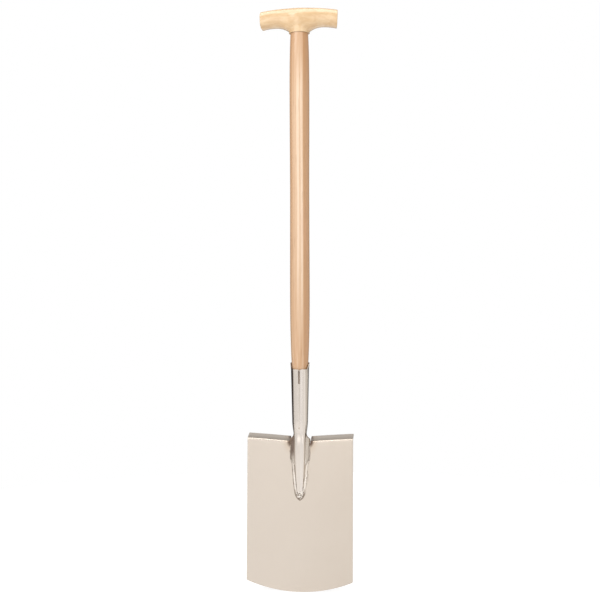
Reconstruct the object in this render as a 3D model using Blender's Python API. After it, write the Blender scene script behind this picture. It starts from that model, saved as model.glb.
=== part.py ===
# Garden spade with an ash shaft, a T grip and a rolled steel socket welded to its blade.
# The shaft's axis is vertical, the digging face looks along -Y, and +X is to its right.
# The origin is under the middle of the footprint, at the height of the cutting edge.
import math

import bmesh
import bpy
from mathutils import Vector

MM = 0.001
FIT_GAP = 0.3 * MM  # between pieces that touch

TOTAL_HEIGHT = 1043.5 * MM  # cutting edge to the top of the grip

BLADE_WIDTH = 190 * MM
BLADE_LENGTH = 265 * MM  # cutting edge to the fold of the treads, on the centre line
BLADE_THICKNESS = 2 * MM
BLADE_DISH = 4 * MM  # the sides stand this far in front of the middle
BLADE_LIFT = math.radians(3)  # the cutting edge stands in front of the shaft's line
EDGE_BOW = 20 * MM  # the middle of the cutting edge is this much below its corners
EDGE_THICKNESS = 0.9 * MM
EDGE_GRIND = 6 * MM  # height of the ground band above the cutting edge
TREAD_DEPTH = 22 * MM
TREAD_RISE = math.radians(15.5)  # the treads climb towards the back
TREAD_SLOPE = math.radians(5)  # and towards the sides
FOLD_RADIUS = 4 * MM
NOTCH_WIDTH = 37 * MM  # gap between the treads, for the socket

SOCKET_WALL = 1.8 * MM
SOCKET_LENGTH = 230 * MM  # end of the tongue to the back of the mouth
TONGUE_LENGTH = 87 * MM  # of which this much lies on the blade
TONGUE_TIP_WIDTH = 10 * MM
TONGUE_TIP_HEIGHT = 3.6 * MM
TONGUE_WIDTH = 20.8 * MM  # width of the raised crown where it meets the blade
CROWN_HEIGHT = 13 * MM
FLANGE_WIDTH = 31.4 * MM  # feet of the crown, spread on the blade
FLANGE_LENGTH = 26 * MM
FLANGE_FADE = 18 * MM  # below that length, in which the feet close up to the crown
FLANGE_FLARE = 18 * MM  # height in which the round socket opens into the flange
NECK_RISE = 40 * MM  # fold of the blade to the start of the round cone
NECK_DIAMETER = 28.4 * MM
CONE_TOP_DIAMETER = 32.6 * MM
LIP_HEIGHT = 12 * MM
MOUTH_DIAMETER = 34.4 * MM
MOUTH_DIP = 11.7 * MM  # the front of the mouth is cut this much lower
MOUTH_DIP_HALF_ANGLE = math.radians(40)  # over this much on each side of the seam
MOUTH_RISE_ANGLE = math.radians(52)  # and climbs to the back's height in this much more
SLIT_LENGTH = 26 * MM
SLIT_TOP_WIDTH = 4.4 * MM
SLIT_END_WIDTH = 2.7 * MM
SEAM_DEPTH = 0.5 * MM
DRAIN_DIAMETER = 3 * MM
DRAIN_BELOW_NECK = 13.5 * MM
TACK_HEIGHT = 3.4 * MM
TACK_PROUD = 0.6 * MM
HOLLOW_LENGTH = 30 * MM  # the crown is hollow this far below the fold of the blade

WELD_WIDTH = 5 * MM  # beside the tongue
WELD_HEIGHT = 2 * MM
WELD_THIN_WIDTH = 2 * MM  # beside the feet of the crown
WELD_THIN_HEIGHT = 1.2 * MM
WELD_TIP_LENGTH = 15 * MM
WELD_TIP_HEIGHT = 3 * MM
WELD_NOTCH_TAPER = 0.8  # share of its height that the notch's bead loses at its ends, squared

SHAFT_TOP_DIAMETER = 31.8 * MM
UPPER_SWELL_DIAMETER = 35.5 * MM
UPPER_SWELL_DROP = 118 * MM  # below the grip
WAIST_DIAMETER = 34.5 * MM
LOWER_SWELL_DIAMETER = 35.2 * MM
LOWER_SWELL_RISE = 122 * MM  # above the socket's mouth
SHAFT_END_TAPER = 0.095  # loss of diameter per length towards both ends
TENON_DIAMETER = 20 * MM
TENON_LENGTH = 28 * MM
TENON_CHAMFER = 1.5 * MM

GRIP_LENGTH = 141.4 * MM
GRIP_ARCH = 5.6 * MM  # rise of the top between its ends and its middle
GRIP_ARM_HEIGHT = 32.4 * MM  # at the ends
GRIP_ARM_DEPTH = 30 * MM
GRIP_CENTRE_DEPTH = 36 * MM
GRIP_BULGE_LENGTH = 30 * MM
GRIP_END_ROUND = 2.4 * MM
GRIP_END_TAPER = math.radians(2)
FINGER_REACH = 42 * MM  # shaft's axis to the top of each finger arc
FINGER_ARC_RISE = 3.3 * MM
FINGER_FILLET = 40 * MM  # radius from the finger arc down to the neck
GRIP_NECK_WIDTH = 37.5 * MM
GRIP_NECK_DEPTH = 33 * MM
GRIP_NECK_DROP = 10.7 * MM  # top of the finger arcs to the neck's end face
NECK_CORNER = 2.5 * MM

SCREW_DIAMETER = 4 * MM
SCREW_LENGTH = 16 * MM
SCREW_HEAD_DIAMETER = 8 * MM
SCREW_HEAD_HEIGHT = 2 * MM
SCREW_DROP = 24 * MM  # below the back of the mouth
PIN_DIAMETER = 4 * MM
PIN_LENGTH = 24 * MM
PIN_RISE = 14 * MM  # above the neck's end face

RING_POINTS = 40
ARM_RING_POINTS = 28
SMALL_RING_POINTS = 20
CROWN_SQUARENESS = 6  # how suddenly the crown's sides spread into the flange
ARM_SQUARENESS = 2.5  # 2 is an ellipse
SEAM_HALF_ANGLE = math.radians(1.6)

TONGUE_END_Z = BLADE_LENGTH - TONGUE_LENGTH
MOUTH_Z = TONGUE_END_Z + SOCKET_LENGTH
CONE_TOP_Z = MOUTH_Z - LIP_HEIGHT
NECK_Z = BLADE_LENGTH + NECK_RISE
FRONT_RIM_Z = MOUTH_Z - MOUTH_DIP
FINGER_TOP_Z = TOTAL_HEIGHT - GRIP_ARCH - GRIP_ARM_HEIGHT + FINGER_ARC_RISE
GRIP_NECK_Z = FINGER_TOP_Z - GRIP_NECK_DROP
TREAD_BACK_Y = TREAD_DEPTH * math.cos(TREAD_RISE) + BLADE_THICKNESS * math.sin(TREAD_RISE)
BLADE_REACH = BLADE_LENGTH * math.tan(BLADE_LIFT) + BLADE_DISH  # in front of the shaft's axis
FOOTPRINT_Y = (TREAD_BACK_Y - max(GRIP_CENTRE_DEPTH / 2, MOUTH_DIAMETER / 2, BLADE_REACH)) / 2


def smooth_step(value):
    value = min(1.0, max(0.0, value))
    return value * value * (3 - 2 * value)


def hermite(share, start, end, start_slope, end_slope):
    square, cube = share * share, share**3
    return (
        (2 * cube - 3 * square + 1) * start
        + (cube - 2 * square + share) * start_slope
        + (3 * square - 2 * cube) * end
        + (cube - square) * end_slope
    )


def between(low, high, count):
    return [low + (high - low) * i / count for i in range(count + 1)]


# ---- Shapes that several pieces share


def blade_front(x, z):
    """Y of the blade's digging face."""
    dish = BLADE_DISH * (2 * x / BLADE_WIDTH) ** 2
    return -math.tan(BLADE_LIFT) * (BLADE_LENGTH - z) - dish


def fold_z(x):
    """Height of the sharp fold in which the flat tread would meet the blade."""
    lift, rise = math.tan(BLADE_LIFT), math.tan(TREAD_RISE)
    climb = BLADE_LENGTH + math.tan(TREAD_SLOPE) * abs(x)
    dish = BLADE_DISH * (2 * x / BLADE_WIDTH) ** 2
    return (climb - rise * lift * BLADE_LENGTH - rise * dish) / (1 - rise * lift)


def fold_setback():
    """Length of the blade or the tread that the fold's arc takes away."""
    turn = math.pi / 2 - TREAD_RISE - BLADE_LIFT
    return FOLD_RADIUS * math.tan(turn / 2)


def blade_top_z(x):
    return fold_z(x) - fold_setback() * math.cos(BLADE_LIFT)


def tongue_share(z):
    """0 at the fold of the blade, 1 at the end of the socket's tongue."""
    return (BLADE_LENGTH - z) / TONGUE_LENGTH


def crown_half_width(z):
    """Half the width of the socket, or of its crown where it lies on the blade."""
    if z >= CONE_TOP_Z:
        share = (z - CONE_TOP_Z) / LIP_HEIGHT
        return (CONE_TOP_DIAMETER + (MOUTH_DIAMETER - CONE_TOP_DIAMETER) * share) / 2
    if z >= NECK_Z:
        share = (z - NECK_Z) / (CONE_TOP_Z - NECK_Z)
        return (NECK_DIAMETER + (CONE_TOP_DIAMETER - NECK_DIAMETER) * share) / 2
    if z >= BLADE_LENGTH:
        share = smooth_step((z - BLADE_LENGTH) / NECK_RISE)
        return (TONGUE_WIDTH + (NECK_DIAMETER - TONGUE_WIDTH) * share) / 2
    share = tongue_share(z) ** 2
    return (TONGUE_WIDTH + (TONGUE_TIP_WIDTH - TONGUE_WIDTH) * share) / 2


def crown_height(z):
    share = max(0.0, tongue_share(z)) ** 1.5
    return CROWN_HEIGHT + (TONGUE_TIP_HEIGHT - CROWN_HEIGHT) * share


def flange_half_width(z):
    """Half the width of the socket's foot on the blade."""
    spread = FLANGE_WIDTH / 2 - crown_half_width(min(z, BLADE_LENGTH))
    fade = smooth_step((BLADE_LENGTH - FLANGE_LENGTH - z) / FLANGE_FADE)
    flare = smooth_step((z - BLADE_LENGTH) / FLANGE_FLARE)
    return crown_half_width(z) + spread * (1 - fade) * (1 - flare)


def shaft_radius(z):
    """Radius of the shaft above the socket's mouth."""
    upper_z = GRIP_NECK_Z - UPPER_SWELL_DROP
    lower_z = MOUTH_Z + LOWER_SWELL_RISE
    waist_z = (upper_z + lower_z) / 2
    mouth_diameter = 2 * (crown_half_width(MOUTH_Z) - SOCKET_WALL - FIT_GAP)
    if z >= upper_z:
        share, slope = (z - upper_z) / UPPER_SWELL_DROP, -SHAFT_END_TAPER * UPPER_SWELL_DROP
        return hermite(share, UPPER_SWELL_DIAMETER, SHAFT_TOP_DIAMETER, 0, slope) / 2
    if z >= waist_z:
        share = smooth_step((z - waist_z) / (upper_z - waist_z))
        return (WAIST_DIAMETER + (UPPER_SWELL_DIAMETER - WAIST_DIAMETER) * share) / 2
    if z >= lower_z:
        share = smooth_step((waist_z - z) / (waist_z - lower_z))
        return (WAIST_DIAMETER + (LOWER_SWELL_DIAMETER - WAIST_DIAMETER) * share) / 2
    share, slope = (lower_z - z) / LOWER_SWELL_RISE, -SHAFT_END_TAPER * LOWER_SWELL_RISE
    return hermite(share, LOWER_SWELL_DIAMETER, mouth_diameter, 0, slope) / 2


# ---- Mesh and material helpers


def new_material(name, colour, roughness, metallic):
    material = bpy.data.materials.new(name)
    material.use_nodes = True
    shader = material.node_tree.nodes["Principled BSDF"]
    shader.inputs["Base Color"].default_value = (*colour, 1)
    shader.inputs["Roughness"].default_value = roughness
    shader.inputs["Metallic"].default_value = metallic
    return material


def new_object(name, mesh, material, parent):
    piece = bpy.data.objects.new(name, mesh)
    bpy.context.scene.collection.objects.link(piece)
    piece.parent = parent
    if material:
        mesh.materials.append(material)
        mesh.shade_smooth()
        mesh.set_sharp_from_angle(angle=math.radians(35))
    return piece


def loft_mesh(name, rings):
    """Closed mesh through rings of points, with both ends capped."""
    form = bmesh.new()
    loops = [[form.verts.new(point) for point in ring] for ring in rings]
    for low, high in zip(loops, loops[1:]):
        for i, corner in enumerate(low):
            previous = i - 1
            form.faces.new((low[previous], corner, high[i], high[previous]))
    form.faces.new(reversed(loops[0]))
    form.faces.new(loops[-1])
    bmesh.ops.recalc_face_normals(form, faces=form.faces)
    mesh = bpy.data.meshes.new(name)
    form.to_mesh(mesh)
    form.free()
    return mesh


def circle_ring(radius, z, points=RING_POINTS):
    turns = [2 * math.pi * i / points for i in range(points)]
    return [Vector((radius * math.cos(t), radius * math.sin(t), z)) for t in turns]


def lathe_mesh(name, profile, points=RING_POINTS):
    """Turned mesh about Z from pairs of radius and height, lowest first."""
    return loft_mesh(name, [circle_ring(radius, z, points) for radius, z in profile])


def add_boolean(piece, tool, operation="DIFFERENCE"):
    tool.hide_render = True
    tool.display_type = "WIRE"
    step = piece.modifiers.new(tool.name, "BOOLEAN")
    step.operation = operation
    step.object = tool
    step.solver = "EXACT"


def lying_cylinder(name, diameter, length, location, parent):
    """Cutter along Y, from its location towards the front."""
    profile = [(diameter / 2, 0), (diameter / 2, length)]
    tool = new_object(name, lathe_mesh(name, profile, SMALL_RING_POINTS), None, parent)
    tool.location = location
    tool.rotation_euler.x = math.pi / 2
    return tool


# ---- Blade


def blade_column(x):
    """Points of the digging face and the tread's top at one x, from the edge upwards."""
    bow_radius = (BLADE_WIDTH**2 / 4 + EDGE_BOW**2) / (2 * EDGE_BOW)
    bottom = bow_radius - math.sqrt(bow_radius**2 - x * x)
    bottom += EDGE_THICKNESS * math.sin(BLADE_LIFT)
    top = blade_top_z(x)
    heights = [bottom] + between(bottom + EDGE_GRIND, top, 5)
    points = [Vector((x, blade_front(x, z), z)) for z in heights]
    if abs(x) < NOTCH_WIDTH / 2 - FIT_GAP:
        return points
    start = points[-1]
    normal = Vector((0, -math.cos(BLADE_LIFT), math.sin(BLADE_LIFT)))
    centre = start - normal * FOLD_RADIUS
    turn = math.pi / 2 - TREAD_RISE - BLADE_LIFT
    for angle in between(0, turn, 6)[1:]:
        facing = BLADE_LIFT + angle
        points.append(centre + FOLD_RADIUS * Vector((0, -math.cos(facing), math.sin(facing))))
    along = Vector((0, math.cos(TREAD_RISE), math.sin(TREAD_RISE)))
    points.append(points[-1] + along * (TREAD_DEPTH - fold_setback()))
    return points


def make_blade(parent, material):
    """One sheet: dished face, ground cutting edge and a folded tread on each side."""
    side = between(NOTCH_WIDTH / 2, BLADE_WIDTH / 2, 9)
    middle = between(-NOTCH_WIDTH / 2, NOTCH_WIDTH / 2, 4)[1:-1]
    places = [-x for x in reversed(side)] + middle + side
    form = bmesh.new()
    columns = [[form.verts.new(point) for point in blade_column(x)] for x in places]
    for left, right in zip(columns, columns[1:]):
        for row in range(min(len(left), len(right)) - 1):
            form.faces.new((left[row], right[row], right[row + 1], left[row + 1]))
    mesh = bpy.data.meshes.new("blade")
    form.verts.index_update()
    edge_points = [column[0].index for column in columns]
    form.to_mesh(mesh)
    form.free()
    blade = new_object("blade", mesh, material, parent)
    body = blade.vertex_groups.new(name="full_thickness")
    body.add(range(len(mesh.vertices)), 1, "REPLACE")
    body.add(edge_points, EDGE_THICKNESS / BLADE_THICKNESS, "REPLACE")
    sheet = blade.modifiers.new("sheet", "SOLIDIFY")
    sheet.thickness = BLADE_THICKNESS
    sheet.offset = -1
    sheet.use_even_offset = True
    sheet.vertex_group = body.name
    return blade


# ---- Socket


def socket_angles():
    """Angles from the front, with two close to the seam on each side of it."""
    turns = [2 * math.pi * i / RING_POINTS for i in range(1, RING_POINTS)]
    return [0, SEAM_HALF_ANGLE] + turns + [2 * math.pi - SEAM_HALF_ANGLE]


def mouth_cut(turn):
    """How far the mouth dips at an angle from the front."""
    away = min(turn, 2 * math.pi - turn)
    return MOUTH_DIP * (1 - smooth_step((away - MOUTH_DIP_HALF_ANGLE) / MOUTH_RISE_ANGLE))


def socket_ring(z, inset, groove=0, dip=0):
    """Section that goes from a round tube to a crown with feet on the blade."""
    flat = 1 - smooth_step((z - BLADE_LENGTH) / NECK_RISE)
    width, foot = crown_half_width(z) - inset, flange_half_width(z) - inset
    ring = []
    for turn in socket_angles():
        sine, cosine = math.sin(turn), math.cos(turn)
        radius = width - (groove if turn == 0 else 0)
        spread = (foot - width) * abs(sine) ** CROWN_SQUARENESS
        x = radius * sine + math.copysign(spread, sine)
        seat = blade_front(x, z) - FIT_GAP - inset
        height = crown_height(z) - FIT_GAP - 2 * inset - (groove if turn == 0 else 0)
        lying_y = seat - height * max(0.0, cosine)
        y = (1 - flat) * -radius * cosine + flat * lying_y
        ring.append(Vector((x, y, z - dip * mouth_cut(turn))))
    return ring


def cone_top_ring(inset):
    """Ring below the lip, low enough at the front to stay under the dipped mouth."""
    ring = socket_ring(CONE_TOP_Z, inset)
    low = FRONT_RIM_Z - LIP_HEIGHT / 2
    for point, turn in zip(ring, socket_angles()):
        point.z -= (CONE_TOP_Z - low) * mouth_cut(turn) / MOUTH_DIP
    return ring


def make_socket(parent, material):
    """Rolled sheet: dipped mouth, open slit, closed seam, drain hole and tongue."""
    slit_end_z = FRONT_RIM_Z - SLIT_LENGTH
    drain_z = NECK_Z - DRAIN_BELOW_NECK
    seam = [slit_end_z] + between(NECK_Z, slit_end_z, 3)[-2:0:-1] + [NECK_Z]
    lying = between(TONGUE_END_Z, BLADE_LENGTH, 12)
    rising = between(BLADE_LENGTH, NECK_Z, 7)[1:-1]
    outer = [socket_ring(z, 0) for z in lying]
    outer += [socket_ring(z, 0, SEAM_DEPTH if z > drain_z else 0) for z in rising]
    outer += [socket_ring(z, 0, SEAM_DEPTH) for z in reversed(seam)]
    outer += [cone_top_ring(0), socket_ring(MOUTH_Z, 0, dip=1)]
    inner = [socket_ring(MOUTH_Z, SOCKET_WALL, dip=1), cone_top_ring(SOCKET_WALL)]
    inner += [socket_ring(z, SOCKET_WALL) for z in (slit_end_z, NECK_Z)]
    inner += [socket_ring(z, SOCKET_WALL) for z in reversed(rising)]
    hollow_end_z = BLADE_LENGTH - HOLLOW_LENGTH
    inner += [socket_ring(z, SOCKET_WALL) for z in reversed(lying) if z > hollow_end_z]
    socket = new_object("socket", loft_mesh("socket", outer + inner), material, parent)

    reach = MOUTH_DIAMETER
    slit_rings = []
    slit_top_z = MOUTH_Z + LIP_HEIGHT
    growth = (SLIT_TOP_WIDTH - SLIT_END_WIDTH) / SLIT_LENGTH
    for z in (slit_end_z, slit_top_z):
        half = (SLIT_END_WIDTH + growth * (z - slit_end_z)) / 2
        slit_rings.append([Vector((x, y, z)) for x, y in
                           ((-half, -reach), (half, -reach), (half, 0), (-half, 0))])
    add_boolean(socket, new_object("slit_cutter", loft_mesh("slit_cutter", slit_rings), None, parent))
    drain = lying_cylinder("drain_cutter", DRAIN_DIAMETER, reach, (0, 0, drain_z), parent)
    add_boolean(socket, drain)
    screw_place = (0, reach, MOUTH_Z - SCREW_DROP)
    screw_width = SCREW_DIAMETER + 2 * FIT_GAP
    add_boolean(socket, lying_cylinder("socket_screw_cutter", screw_width, reach, screw_place, parent))
    return socket


# ---- Welds


def bead_ring(x, z, half_width, height):
    """Section of a bead that lies on the blade's face: flat below, round on top."""
    ring = []
    for turn in between(0, math.pi, 7):
        px = x + half_width * math.cos(turn)
        py = blade_front(px, z) - FIT_GAP - height * math.sin(turn)
        ring.append(Vector((px, py, z)))
    return ring


def make_side_weld(name, side, parent, material):
    """Bead along one foot of the socket, from the notch down to the tongue's end."""
    rings = []
    for z in between(TONGUE_END_Z + 2 * FIT_GAP, blade_top_z(0) - WELD_WIDTH / 2, 18):
        swell = smooth_step((BLADE_LENGTH - FLANGE_LENGTH - z) / FLANGE_FADE)
        half_width = (WELD_THIN_WIDTH + (WELD_WIDTH - WELD_THIN_WIDTH) * swell) / 2
        height = WELD_THIN_HEIGHT + (WELD_HEIGHT - WELD_THIN_HEIGHT) * swell
        x = side * (flange_half_width(z) + FIT_GAP + half_width)
        rings.append(bead_ring(x, z, half_width, height))
    return new_object(name, loft_mesh(name, rings), material, parent)


def make_tip_weld(parent, material):
    """Rounded pool of weld that closes the end of the tongue."""
    top_z = TONGUE_END_Z - FIT_GAP
    full = TONGUE_TIP_WIDTH / 2 + WELD_WIDTH / 2
    rings = []
    for share in (0.02, 0.15, 0.35, 0.6, 0.85, 1):
        round_off = math.sqrt(1 - (1 - share) ** 2)
        z = top_z - WELD_TIP_LENGTH * (1 - share)
        rings.append(bead_ring(0, z, full * round_off, WELD_TIP_HEIGHT * round_off))
    return new_object("weld_tip", loft_mesh("weld_tip", rings), material, parent)


def make_back_weld(parent, material):
    """Bead on the blade's top edge in the notch, behind the socket."""
    half_height = BLADE_THICKNESS / 2
    reach = FLANGE_WIDTH / 2 - WELD_WIDTH
    rings = []
    for x in between(-reach, reach, 8):
        top = blade_top_z(x) + FIT_GAP
        middle = blade_front(x, top) + half_height
        rise = half_height * math.sqrt(1 - WELD_NOTCH_TAPER * (x / reach) ** 2)
        turns = between(0, math.pi, 6)
        rings.append([Vector((x, middle + half_height * math.cos(turn), top + rise * math.sin(turn)))
                      for turn in turns])
    return new_object("weld_notch", loft_mesh("weld_notch", rings), material, parent)


def make_tack_weld(parent, material):
    """Small bridge of weld that holds the seam's lips together at the mouth."""
    middle_z = FRONT_RIM_Z - FIT_GAP - TACK_HEIGHT / 2
    outer = crown_half_width(CONE_TOP_Z) + TACK_PROUD
    inner = crown_half_width(FRONT_RIM_Z) - SOCKET_WALL
    half = SLIT_TOP_WIDTH / 2 - 2 * FIT_GAP
    corner = TACK_HEIGHT / 4
    rings = []
    for y, shrink in ((-outer, corner), (-outer + corner, 0), (-inner, 0)):
        high, wide = TACK_HEIGHT / 2 - shrink, half - shrink / 2
        rings.append([Vector((x, y, middle_z + z)) for x, z in
                      ((-wide, -high), (wide, -high), (wide, high), (-wide, high))])
    return new_object("weld_seam_tack", loft_mesh("weld_seam_tack", rings), material, parent)


# ---- Shaft and its fastening


def shaft_profile():
    """Radius and height up the shaft: socket end, barrel body, shoulder and tenon."""
    inside = [NECK_Z + FIT_GAP] + between(NECK_Z, CONE_TOP_Z, 4)[1:]
    profile = [(crown_half_width(z) - SOCKET_WALL - FIT_GAP, z) for z in inside]
    end_radius, end_z = profile[0]
    chamfer = TENON_CHAMFER
    profile[0] = (end_radius - chamfer, end_z)
    profile.insert(1, (end_radius, end_z + chamfer))
    shoulder_z = GRIP_NECK_Z - FIT_GAP
    profile += [(shaft_radius(z), z) for z in between(MOUTH_Z, MOUTH_Z + LOWER_SWELL_RISE, 8)]
    middle = between(MOUTH_Z + LOWER_SWELL_RISE, GRIP_NECK_Z - UPPER_SWELL_DROP, 10)[1:-1]
    profile += [(shaft_radius(z), z) for z in middle]
    profile += [(shaft_radius(z), z) for z in between(GRIP_NECK_Z - UPPER_SWELL_DROP, shoulder_z, 8)]
    tenon = TENON_DIAMETER / 2
    tenon_top = GRIP_NECK_Z + TENON_LENGTH
    return profile + [(tenon, shoulder_z), (tenon, tenon_top - chamfer), (tenon - chamfer, tenon_top)]


def make_shaft(parent, material):
    shaft = new_object("shaft", lathe_mesh("shaft", shaft_profile()), material, parent)
    screw_hole = lying_cylinder(
        "shaft_screw_cutter",
        SCREW_DIAMETER + 2 * FIT_GAP,
        SCREW_LENGTH + FIT_GAP,
        (0, screw_seat_y(), MOUTH_Z - SCREW_DROP),
        parent,
    )
    add_boolean(shaft, screw_hole)
    pin_hole = lying_cylinder(
        "tenon_pin_cutter",
        PIN_DIAMETER + 2 * FIT_GAP,
        PIN_LENGTH + FIT_GAP,
        (0, pin_seat_y(), GRIP_NECK_Z + PIN_RISE),
        parent,
    )
    add_boolean(shaft, pin_hole)
    return shaft


def screw_seat_y():
    """Outside of the socket behind the screw's head."""
    return crown_half_width(MOUTH_Z - SCREW_DROP) + FIT_GAP


def make_screw(parent, material):
    """Round-headed screw through the back of the socket into the shaft."""
    shank, head = SCREW_DIAMETER / 2, SCREW_HEAD_DIAMETER / 2
    profile = [(shank / 4, -SCREW_LENGTH), (shank, -SCREW_LENGTH + 2 * shank), (shank, 0), (head, 0)]
    for turn in between(0, math.pi / 2, 5)[1:-1]:
        profile.append((head * math.cos(turn), SCREW_HEAD_HEIGHT * math.sin(turn)))
    profile.append((head / 8, SCREW_HEAD_HEIGHT))
    mesh = lathe_mesh("socket_screw", profile, SMALL_RING_POINTS)
    screw = new_object("socket_screw", mesh, material, parent)
    screw.location = (0, screw_seat_y(), MOUTH_Z - SCREW_DROP)
    screw.rotation_euler.x = -math.pi / 2
    return screw


# ---- Grip


def finger_under(x):
    """Height of the underside of the grip's arms."""
    away = abs(x) - FINGER_REACH
    if away > 0:
        reach = GRIP_LENGTH / 2 - FINGER_REACH
        radius = (reach**2 + FINGER_ARC_RISE**2) / (2 * FINGER_ARC_RISE)
        return FINGER_TOP_Z - radius + math.sqrt(radius**2 - away**2)
    inward = min(-away, FINGER_REACH - GRIP_NECK_WIDTH / 2)
    return FINGER_TOP_Z - FINGER_FILLET + math.sqrt(FINGER_FILLET**2 - inward**2)


def arm_ring(x, shrink):
    """Rounded upright section across the grip."""
    share = 2 * x / GRIP_LENGTH
    top = TOTAL_HEIGHT - GRIP_ARCH * share * share
    under = finger_under(x)
    bulge = math.exp(-((2 * x / GRIP_BULGE_LENGTH) ** 2))
    half_depth = (GRIP_ARM_DEPTH + (GRIP_CENTRE_DEPTH - GRIP_ARM_DEPTH) * bulge) / 2 - shrink
    half_height = (top - under) / 2 - shrink
    middle = (top + under) / 2
    ring = []
    for turn in between(0, 2 * math.pi, ARM_RING_POINTS)[:-1]:
        across, up = math.cos(turn), math.sin(turn)
        y = half_depth * math.copysign(abs(across) ** (2 / ARM_SQUARENESS), across)
        z = half_height * math.copysign(abs(up) ** (2 / ARM_SQUARENESS), up)
        lean = (half_height - z) * math.tan(GRIP_END_TAPER) * share**3
        ring.append(Vector((x - lean, y, middle + z)))
    return ring


def make_neck_tool(parent):
    """Collar under the middle of the grip, round at its end and spreading upwards."""
    half_width, half_depth = GRIP_NECK_WIDTH / 2, GRIP_NECK_DEPTH / 2
    spread_z = finger_under(half_width)
    levels = [(GRIP_NECK_Z, half_width - NECK_CORNER, half_depth - NECK_CORNER / 2)]
    levels += [(GRIP_NECK_Z + NECK_CORNER, half_width, half_depth), (spread_z, half_width, half_depth)]
    levels += [(FINGER_TOP_Z + GRIP_NECK_DROP, half_width, half_depth)]
    rings = []
    for z, wide, deep in levels:
        rings.append([Vector((wide * p.x, deep * p.y, z)) for p in circle_ring(1, 0)])
    return new_object("grip_neck_tool", loft_mesh("grip_neck_tool", rings), None, parent)


def pin_seat_y():
    return GRIP_NECK_DEPTH / 2 - 2 * FIT_GAP


def make_grip(parent, material):
    """T grip: arched top, finger arcs, round neck and a blind mortise."""
    half = GRIP_LENGTH / 2
    inside = half - GRIP_END_ROUND
    ends = [(inside + GRIP_END_ROUND * math.sin(turn), GRIP_END_ROUND * (1 - math.cos(turn)))
            for turn in between(math.pi / 2, 0, 3)[:-1]]
    places = between(-inside, -GRIP_NECK_WIDTH / 2, 8) + [-GRIP_NECK_WIDTH / 4, 0]
    places += [-x for x in reversed(places[:-1])]
    sections = [(-x, shrink) for x, shrink in ends] + [(x, 0) for x in places]
    sections += list(reversed(ends))
    rings = [arm_ring(x, shrink) for x, shrink in sections]
    grip = new_object("grip", loft_mesh("grip", rings), material, parent)
    add_boolean(grip, make_neck_tool(parent), "UNION")
    mortise_radius = TENON_DIAMETER / 2 + FIT_GAP
    mortise_top = GRIP_NECK_Z + TENON_LENGTH + FIT_GAP
    profile = [(mortise_radius, GRIP_NECK_Z - NECK_CORNER), (mortise_radius, mortise_top)]
    mortise = new_object("mortise_cutter", lathe_mesh("mortise_cutter", profile), None, parent)
    add_boolean(grip, mortise)
    pin_hole = lying_cylinder(
        "grip_pin_cutter",
        PIN_DIAMETER + 2 * FIT_GAP,
        PIN_LENGTH + GRIP_NECK_DEPTH,
        (0, pin_seat_y() + GRIP_NECK_DEPTH, GRIP_NECK_Z + PIN_RISE),
        parent,
    )
    add_boolean(grip, pin_hole)
    return grip


def make_pin(parent, material):
    """Pin driven in from the back, through the neck and the tenon."""
    radius = PIN_DIAMETER / 2
    chamfer = radius / 4
    profile = [(radius - chamfer, 0), (radius, chamfer), (radius, PIN_LENGTH - chamfer),
               (radius - chamfer, PIN_LENGTH)]
    pin = new_object("grip_pin", lathe_mesh("grip_pin", profile, SMALL_RING_POINTS), material, parent)
    pin.location = (0, pin_seat_y(), GRIP_NECK_Z + PIN_RISE)
    pin.rotation_euler.x = math.pi / 2
    return pin


def main():
    for thing in list(bpy.data.objects):
        bpy.data.objects.remove(thing, do_unlink=True)
    frame = bpy.data.objects.new("spade_frame", None)
    bpy.context.scene.collection.objects.link(frame)
    frame.location.y = -FOOTPRINT_Y

    blade_steel = new_material("blade_steel", (0.72, 0.68, 0.62), 0.34, 1)
    socket_steel = new_material("socket_steel", (0.75, 0.71, 0.66), 0.22, 1)
    weld_steel = new_material("weld_steel", (0.62, 0.57, 0.5), 0.4, 1)
    fixing_steel = new_material("fixing_steel", (0.6, 0.6, 0.6), 0.3, 1)
    ash_wood = new_material("ash_wood", (0.72, 0.47, 0.25), 0.38, 0)
    grip_wood = new_material("grip_wood", (0.85, 0.62, 0.36), 0.42, 0)

    make_blade(frame, blade_steel)
    make_socket(frame, socket_steel)
    make_side_weld("weld_left", -1, frame, weld_steel)
    make_side_weld("weld_right", 1, frame, weld_steel)
    make_tip_weld(frame, weld_steel)
    make_back_weld(frame, weld_steel)
    make_tack_weld(frame, weld_steel)
    make_shaft(frame, ash_wood)
    make_screw(frame, fixing_steel)
    make_grip(frame, grip_wood)
    make_pin(frame, fixing_steel)


main()
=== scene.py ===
# Garden spade: ash shaft, wooden T grip, and a stainless blade welded to a rolled socket.
# Everything is in metres. The shaft stands along Z and the digging face looks along -Y.
import math
import bpy
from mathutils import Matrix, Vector, noise


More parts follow.
